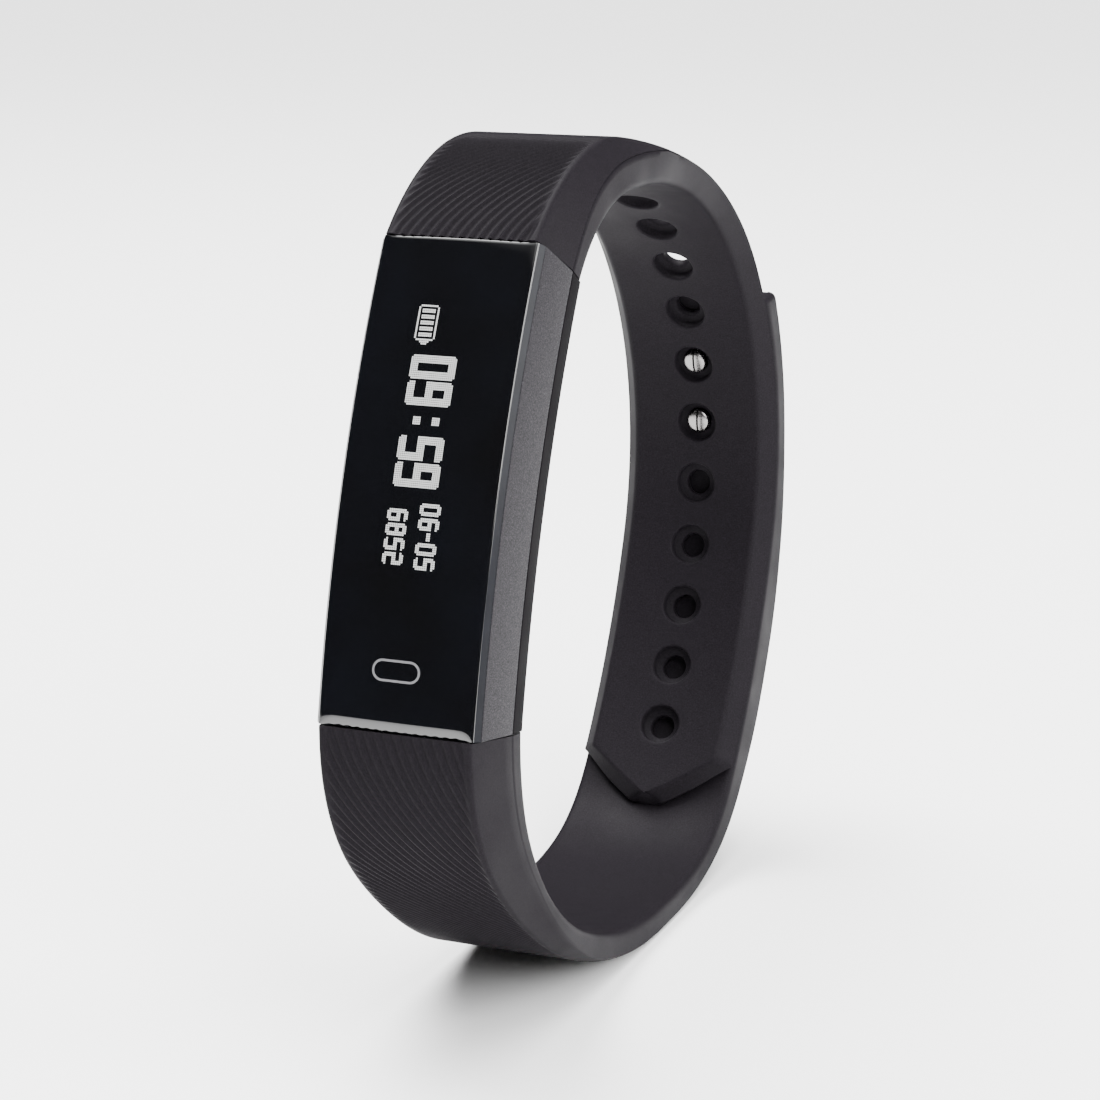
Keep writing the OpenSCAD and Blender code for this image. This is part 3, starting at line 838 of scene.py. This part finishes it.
def make_lens():
    """The lens: a crowned face, rounded long edges and rolled ends, with a painted highlight on its rounded
    edges and lower roll and painted shade on its steep sides.
    """
    face = [(x, crown(x)) for x in steps(0, LENS_HALF - 0.1, 14)]
    edge = round_corner(face[-1], LENS_SIDE[0], LENS_SIDE[1], LENS_ROUND, 6)
    half = face + edge + round_corner(LENS_SIDE[0], LENS_SIDE[1], LENS_SIDE[2], 0.2, 3) + [LENS_SIDE[2]]
    line = [(-x, w) for x, w in reversed(half)] + half[1:]
    limits = [end_angle(drop, END_GAP) for length, drop in LENS_ENDS]
    rolls = [length / FACE_R for length, drop in LENS_ENDS]
    angles = steps(-limits[0], -limits[0] + rolls[0], 9)[:-1]
    angles += steps(-limits[0] + rolls[0], limits[1] - rolls[1], 60)
    angles += steps(limits[1] - rolls[1], limits[1], 9)[1:]
    rows = []
    for a in angles:
        end = int(a > 0)
        into = max(0, abs(a) - limits[end] + rolls[end]) / rolls[end]
        sink = LENS_ENDS[end][1] * (1 - math.sqrt(max(0, 1 - into ** 2)))
        row = []
        for x, w in line:
            rolled = w + sink * (1 - ease(abs(x), ROLL_FADE))
            row.append(placed(x, in_module(*arch(a, min(rolled, LENS_SIDE[2][1])))))
        rows.append(row)
    surface = Surface()
    ids = surface.add_grid(rows, closed=True)
    surface.faces.append(tuple(ids[0]))
    surface.faces.append(tuple(reversed(ids[-1])))
    lens = surface.make("lens_glass", lens_glass, 50)
    lens.data.materials.append(lens_side_painted_shade)
    lens.data.materials.append(lens_edge_painted_highlight)
    roll_v = LENS_ENDS[0][0] - FACE_HALF
    # The steep sides take the darker copy of the lens (painted shade). The rounded edges and the lower roll
    # take the strongly reflecting copy (painted highlight).
    for face in lens.data.polygons:
        v = to_module((face.center.y / MM + ORIGIN[0], face.center.z / MM + ORIGIN[1]))[0]
        x = abs(face.center.x) / MM
        if x > LENS_SIDE[0][0] + RIM_LINE:
            face.material_index = 1
        elif x > LENS_SIDE[0][0] - LENS_ROUND or v < roll_v:
            face.material_index = 2
    return lens


# ---- Readout: a dot display seen through the lens, and the printed key -------------------------
DOT = 0.168
DOT_FILL = 0.80
DOT_LIFT = 0.012
SEGMENTS = {"0": "abcdef", "2": "abged", "5": "afgcd", "6": "afgcde", "8": "abcdefg", "9": "abcdfg"}


def segment_dots(name, w, h, k):
    """Dots of one stroke of a figure w by h dots, k dots thick."""
    mid = (h - k) // 2
    spans = {"a": (0, w, 0, k), "d": (0, w, h - k, h), "g": (0, w, mid, mid + k), "f": (0, k, 0, mid + k),
             "b": (w - k, w, 0, mid + k), "e": (0, k, mid, h), "c": (w - k, w, mid, h)}
    c0, c1, r0, r1 = spans[name]
    return {(c, r) for c in range(c0, c1) for r in range(r0, r1)}


def figure_dots(text, w, h, k):
    """Dots of a row of figures w by h dots, one dot apart; a dash is a short stroke."""
    dots = set()
    left = 0
    for mark in text:
        if mark == "-":
            wide = w - 2
            cells = {(c, r) for c in range(wide) for r in range((h - k) // 2, (h + k) // 2)}
        else:
            wide = w
            cells = set().union(*(segment_dots(name, w, h, k) for name in SEGMENTS[mark]))
            cells -= {(0, 0), (w - 1, 0), (0, h - 1), (w - 1, h - 1)}
        dots |= {(c + left, r) for c, r in cells}
        left += wide + 1
    return dots


def battery_dots():
    """A full battery mark, read along the band: frame, nub and five bars."""
    long, wide = 18, 11
    corners = {(0, 0), (0, wide - 1), (long - 1, 0), (long - 1, wide - 1)}
    dots = {(c, r) for c in range(long) for r in range(wide) if c in (0, long - 1) or r in (0, wide - 1)}
    dots |= {(long, r) for r in range(3, 8)} | {(long + 1, r) for r in range(4, 7)}
    for bar in range(5):
        dots |= {(2 + 3 * bar + c, r) for c in range(2) for r in range(2, wide - 2)}
    return dots - corners


# (figures, first column's place along the band, top row's place across it)
READOUT = [
    (battery_dots(), 14.5, -0.54),
    (figure_dots("09", 12, 24, 4), 10.3, 1.76),
    ({(c, r) for c in range(4) for r in [*range(4), *range(10, 14)]}, 5.2, 1.06),
    (figure_dots("59", 12, 24, 4), 3.6, 1.76),
    (figure_dots("06-05", 6, 11, 2), -1.8, 2.26),
    (figure_dots("6852", 6, 11, 2), -2.4, -0.56),
]


def lens_point(x, v, lift):
    """A point over the lens's face, at a place across it and along it."""
    w = crown(x) - lift
    return placed(x, in_module(*arch(math.asin(v / (FACE_R - w)), w)))


def make_readout():
    """Every lit dot as a flat tile that stands just proud of the lens."""
    surface = Surface()
    half = DOT * DOT_FILL / 2
    for dots, v_first, x_top in READOUT:
        for column, row in sorted(dots):
            v, x = v_first - (column + 0.5) * DOT, x_top - (row + 0.5) * DOT
            corners = [(x - half, v - half), (x + half, v - half), (x + half, v + half), (x - half, v + half)]
            top = surface.add_points([lens_point(a, b, DOT_LIFT) for a, b in corners])
            base = surface.add_points([lens_point(a, b, -DOT_LIFT) for a, b in corners])
            surface.faces += [tuple(top), tuple(reversed(base))]
            surface.faces += [(top[i], base[i], base[(i + 1) % 4], top[(i + 1) % 4]) for i in range(4)]
    return surface.make("readout_dots", lit_dots, 20)


KEY_V = -15.4
KEY_X = -0.2
KEY_HALF_LONG = 2.12
KEY_R = 0.90
KEY_LINE = 0.19


def make_key_ring():
    """Outline of the touch key: a round-ended loop across the lens."""
    def loop(r, lift):
        points = []
        for side in (1, -1):
            for a in steps(-math.pi / 2, math.pi / 2, 20):
                x = KEY_X + side * (KEY_HALF_LONG - KEY_R + r * math.cos(a))
                points.append(lens_point(x, KEY_V + side * r * math.sin(a), lift))
        return points

    surface = Surface()
    rows = [loop(KEY_R - KEY_LINE, -DOT_LIFT), loop(KEY_R - KEY_LINE, DOT_LIFT), loop(KEY_R, DOT_LIFT),
            loop(KEY_R, -DOT_LIFT), loop(KEY_R - KEY_LINE, -DOT_LIFT)]
    surface.add_grid(rows, closed=True)
    return surface.make("key_ring", key_ink, 30)


# ---- Clasp -------------------------------------------------------------------------------------
STUD_HOLES = (4, 5)
STUD_R = 1.15
STUD_TIP_D = 0.12
STUD_DOME = 0.4
STUD_SUNK = 0.4
STUD_SLOT = 0.19
# Rings of a stud's dome, from its middle to its full radius
DOME_RINGS = (0.18, 0.35, 0.5, 0.65, 0.78, 0.88, 0.95, 0.99, 1)
PLATE_W = 9.0
PLATE_OVER = 3.4
PLATE_RISE = 0.14
PLATE_SUNK = 0.6
PLATE_CORNER = 1.2
PLATE_ROUND = 0.12
PLATE_INSETS = (0.8, 2.0, 3.2, 4.2)


def make_studs():
    """Split steel studs: two half-round prongs each, rounded at the tip."""
    surface = Surface()
    for i in STUD_HOLES:
        s_mid = HOLE_S[i]
        base = upper_at(s_mid)

        def at(x, along, d):
            y, z, h = base
            return placed(x, (y + along * math.cos(h) - d * math.sin(h),
                              z + along * math.sin(h) + d * math.cos(h)))

        for side in (1, -1):
            def half_round(r, d):
                arc = [(side * (STUD_SLOT / 2 + (r - STUD_SLOT / 2) * math.cos(a)), r * math.sin(a))
                       for a in steps(-math.pi / 2, math.pi / 2, 24)]
                return [at(x, along, d) for x, along in arc]

            rows = [half_round(STUD_R * u, STUD_TIP_D + STUD_DOME * (1 - math.sqrt(1 - u * u)))
                    for u in DOME_RINGS]
            rows.append(half_round(STUD_R, LAP_D + CLASP_T - STUD_SUNK))
            ids = surface.add_grid(rows, closed=True)
            surface.faces += [tuple(ids[0]), tuple(reversed(ids[-1]))]
    return surface.make("stud_pins", polished_steel, 50)


def make_plate():
    """The clasp's outer plate: rounded corners and a soft edge, bent to the strap."""
    s0, s1 = HOLE_S[STUD_HOLES[0]] - PLATE_OVER, HOLE_S[STUD_HOLES[1]] + PLATE_OVER
    middle, half_long = (s0 + s1) / 2, (s1 - s0) / 2

    def loop(inset, level):
        points = []
        corner = PLATE_CORNER - min(inset, PLATE_CORNER * 0.9)
        side_x = PLATE_W / 2 - inset
        for quarter, (sx, ss) in enumerate([(1, 1), (-1, 1), (-1, -1), (1, -1)]):
            for a in steps(quarter * math.pi / 2, (quarter + 1) * math.pi / 2, 6):
                x = sx * (side_x - corner) + corner * math.cos(a)
                s = middle + ss * (half_long - inset - corner) + corner * math.sin(a)
                points.append(placed(x, upper_point(s, LAP_D + CLASP_T + level)))
            if sx != ss:
                # A long side follows this corner, and has points between its ends to bend at
                for u in steps(0, 1, 9)[1:-1]:
                    s = middle + ss * (half_long - inset - corner) * (1 - 2 * u)
                    points.append(placed(sx * side_x, upper_point(s, LAP_D + CLASP_T + level)))
        return points

    surface = Surface()
    side_top = PLATE_RISE - PLATE_ROUND
    rows = [loop(0, -PLATE_SUNK), loop(0, side_top)]
    rows += [loop(PLATE_ROUND * (1 - math.cos(a)), side_top + PLATE_ROUND * math.sin(a))
             for a in steps(0.3, math.pi / 2, 3)]
    rows += [loop(inset, PLATE_RISE) for inset in PLATE_INSETS]
    ids = surface.add_grid(rows, closed=True)
    surface.faces += [tuple(reversed(ids[0])), tuple(ids[-1])]
    return surface.make("clasp_plate_cap", plate_finish, 35)


# ---- Pieces, and the bodies they ride on -------------------------------------------------------
FLEX_HALF = 5.0
TAIL_FLEX_S = 53.1
CLASP_FLEX_S = 78.5
CLASP_HALF_T = 1.85


def flex_ends(s_mid, depth, way):
    """Start and end of a flex zone round a point of the upper path, in metres."""
    y, z, h = upper_at(s_mid)
    place = Vector(placed(0, upper_point(s_mid, depth)))
    step = Vector((0, math.cos(h), math.sin(h))) * FLEX_HALF * way
    return (place - step) * MM, (place + step) * MM


holed_strap = make_holed_strap()
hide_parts("holed_strap_root", "holed_strap_tail")
start, end = flex_ends(TAIL_FLEX_S, TAIL_T / 2, 1)
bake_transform(holed_strap)

clasp_strap = make_clasp_strap()
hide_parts("clasp_strap_root", "clasp_strap_end")
start, end = flex_ends(CLASP_FLEX_S, LAP_D + CLASP_HALF_T, -1)
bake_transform(clasp_strap)

for piece, node, slot in ((make_housing(), "module_housing", "housing"),
                          (make_cover(), "back_cover", "cover"),
                          (make_lens(), "front_lens", "lens")):
    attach(piece, "root")
    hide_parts(node)
for piece, node, slot in ((make_plate(), "clasp_plate", "plate"),
                          (make_studs(), "clasp_studs", "stud_steel")):
    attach(piece, "clasp_end")
    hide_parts(node)
for piece, slot in ((make_readout(), "display"), (make_key_ring(), "display")):
    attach(piece, "root")

# ---- Floor, world and lights -------------------------------------------------------------------
FLOOR_HALF = 12.0
floor_material = node_material("floor_white", (0.95, 0.95, 0.95), 0.7, specular=0.2)[0]
floor_mesh = bpy.data.meshes.new("floor")
floor_mesh.from_pydata([(x * FLOOR_HALF, y * FLOOR_HALF, 0) for x, y in ((-1, -1), (1, -1), (1, 1), (-1, 1))],
                       [], [(0, 1, 2, 3)])
floor_mesh.materials.append(floor_material)
floor = bpy.data.objects.new("floor", floor_mesh)
bpy.context.scene.collection.objects.link(floor)

# The world lights the band from overhead, and the camera sees it at one even brightness
WORLD_LOW = 0.042
WORLD_HIGH = 11.2
WORLD_RISE = (0.72, 0.98)
WORLD_SEEN = 2.2
world = bpy.data.worlds.new("studio")
world.use_nodes = True
bpy.context.scene.world = world
tree = world.node_tree
place = tree.nodes.new("ShaderNodeTexCoord")
split = tree.nodes.new("ShaderNodeSeparateXYZ")
tree.links.new(place.outputs["Generated"], split.inputs["Vector"])
facing = map_range(tree, split.outputs["Z"], *WORLD_RISE, WORLD_LOW, WORLD_HIGH)
seen = tree.nodes.new("ShaderNodeLightPath")
brightness = tree.nodes.new("ShaderNodeMix")
tree.links.new(seen.outputs["Is Camera Ray"], brightness.inputs["Factor"])
tree.links.new(facing, brightness.inputs["A"])
brightness.inputs["B"].default_value = WORLD_SEEN
tree.links.new(brightness.outputs["Result"], tree.nodes["Background"].inputs["Strength"])
tree.nodes["Background"].inputs["Color"].default_value = (1, 1, 1, 1)


def softbox(name, place_m, target_m, size_m, watts):
    """A rectangular area light that faces its target."""
    data = bpy.data.lights.new(name, "AREA")
    data.shape = "RECTANGLE"
    data.size, data.size_y = size_m
    data.energy = watts
    lamp = bpy.data.objects.new(name, data)
    lamp.location = place_m
    lamp.rotation_euler = (Vector(target_m) - Vector(place_m)).to_track_quat("-Z", "Y").to_euler()
    bpy.context.scene.collection.objects.link(lamp)


MIDDLE = (0, 0, 0.04)
softbox("key_top_left", (-0.30, 0.10, 0.80), MIDDLE, (0.5, 0.5), 14)
softbox("right_front", (0.50, -0.42, 0.50), MIDDLE, (0.35, 0.5), 7.7)
softbox("right_side", (0.62, 0.12, 0.24), MIDDLE, (0.30, 0.4), 4.9)
